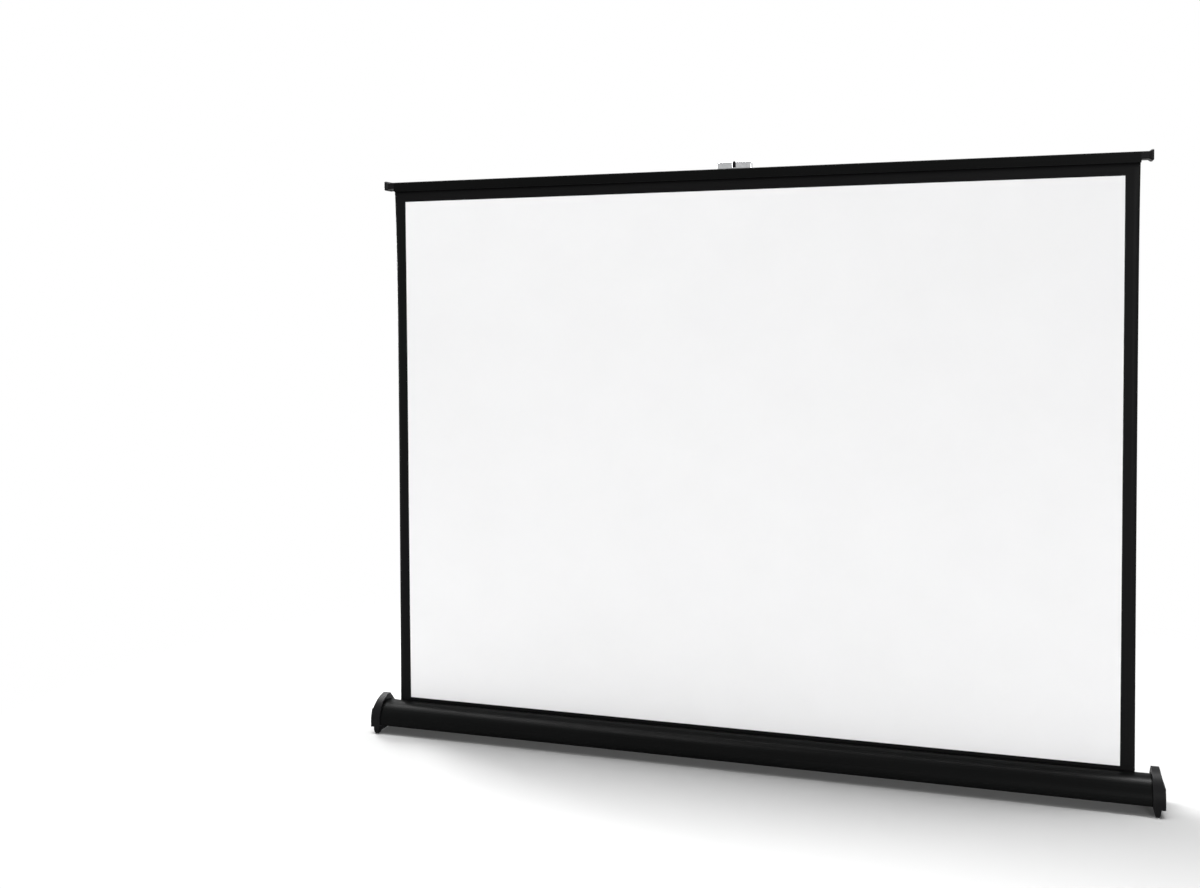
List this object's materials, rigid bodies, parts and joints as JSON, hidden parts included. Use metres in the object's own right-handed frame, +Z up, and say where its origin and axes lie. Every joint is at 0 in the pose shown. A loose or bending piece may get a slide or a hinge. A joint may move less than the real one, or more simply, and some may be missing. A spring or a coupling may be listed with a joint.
{
  "type": "tabletop projection screen",
  "caption": "Free-standing tabletop projection screen: spring-roller case on end caps with feet, black-bordered white cloth, top bar with latch, folding arms behind.",
  "frame": {"origin": "on the table, under the middle of the case", "axes": "+X along the screen to the viewer's right, +Y to the back of the screen, +Z up"},
  "size_m": [0.896, 0.0496, 0.6823],
  "materials": {
    "black_anodised": "satin black anodised extrusion",
    "black_arm_paint": "satin black paint",
    "black_plastic": "fine-grained moulded plastic",
    "rubber": "matte",
    "bare_aluminium": "drawn bare tube",
    "pale_plastic": "moulded nylon",
    "chrome": "bright plated",
    "steel": "zinc plated",
    "black_zinc": "black plated",
    "screen_cloth": "matte white coating with a black border and a black back",
    "cloth_back": "black woven back"
  },
  "bodies": {
    "base": {"case_extrusion": "black_anodised", "end_cap_left": "black_plastic", "end_cap_right": "black_plastic", "end_cap_screws": "black_zinc", "foot_pads": "rubber", "spring_shaft": "steel", "spring_anchor": "pale_plastic", "idle_pin": "steel", "latch_keeper": "black_arm_paint", "keeper_rivets": "black_zinc", "base_pivot_rivets": "chrome", "base_pivot_spacers": "steel", "screen_fabric": "screen_cloth"},
    "roller": {"roller_tube": "bare_aluminium", "wound_cloth": "cloth_back", "roller_spring_plug": "pale_plastic", "roller_idle_plug": "pale_plastic", "torsion_spring": "steel"},
    "left_lower": {"left_lower_arm": "black_arm_paint"},
    "right_lower": {"right_lower_arm": "black_arm_paint"},
    "left_upper": {"left_upper_arm": "black_arm_paint", "left_elbow_rivet": "chrome", "left_elbow_washer": "steel"},
    "right_upper": {"right_upper_arm": "black_arm_paint", "right_elbow_rivet": "chrome", "right_elbow_washer": "steel"},
    "top_bar": {"top_bar": "black_anodised", "top_bar_plug_left": "black_plastic", "top_bar_plug_right": "black_plastic", "top_pivot_rivets": "chrome", "top_pivot_spacers": "steel", "fabric_rod": "steel"},
    "latch": {"latch_grip": "chrome", "latch_fin": "black_plastic", "latch_hook": "black_arm_paint", "latch_screw": "chrome"}
  },
  "joints": [
    {"name": "arm_fold", "type": "hinge", "parent": "base", "child": "left_lower", "pos_m": [-0.037, 0.01635, 0.0162], "axis": [0, -1, 0], "range_deg": [0, 63.57], "deforming": ["screen_fabric"]},
    {"name": "left_elbow", "type": "hinge", "parent": "left_lower", "child": "left_upper", "pos_m": [-0.1907, 0.01635, 0.34165], "axis": [0, -1, 0], "range_deg": [-127.15, 0]},
    {"name": "bar_level", "type": "hinge", "parent": "left_upper", "child": "top_bar", "pos_m": [-0.037, 0.01635, 0.6671], "axis": [0, -1, 0], "range_deg": [0, 63.57]},
    {"name": "right_fold", "type": "hinge", "parent": "base", "child": "right_lower", "pos_m": [0.037, 0.01635, 0.0162], "axis": [0, -1, 0], "range_deg": [-63.57, 0]},
    {"name": "right_elbow", "type": "hinge", "parent": "right_lower", "child": "right_upper", "pos_m": [0.1907, 0.01635, 0.34165], "axis": [0, -1, 0], "range_deg": [0, 127.15]},
    {"name": "roller_spin", "type": "hinge", "parent": "base", "child": "roller", "pos_m": [0, -0.00475, 0.0223], "axis": [-1, 0, 0], "range_deg": [0, 3909.2]},
    {"name": "latch_slide", "type": "slide", "parent": "top_bar", "child": "latch", "axis": [-1, 0, 0], "range_m": [0, 0.008]}
  ],
  "couplings": [
    {"joint": "left_elbow", "follows": "arm_fold", "ratio": -2},
    {"joint": "bar_level", "follows": "arm_fold", "ratio": 1},
    {"joint": "right_fold", "follows": "arm_fold", "ratio": -1},
    {"joint": "right_elbow", "follows": "arm_fold", "ratio": 2},
    {"joint": "roller_spin", "follows": "arm_fold", "ratio": 61.491}
  ]
}
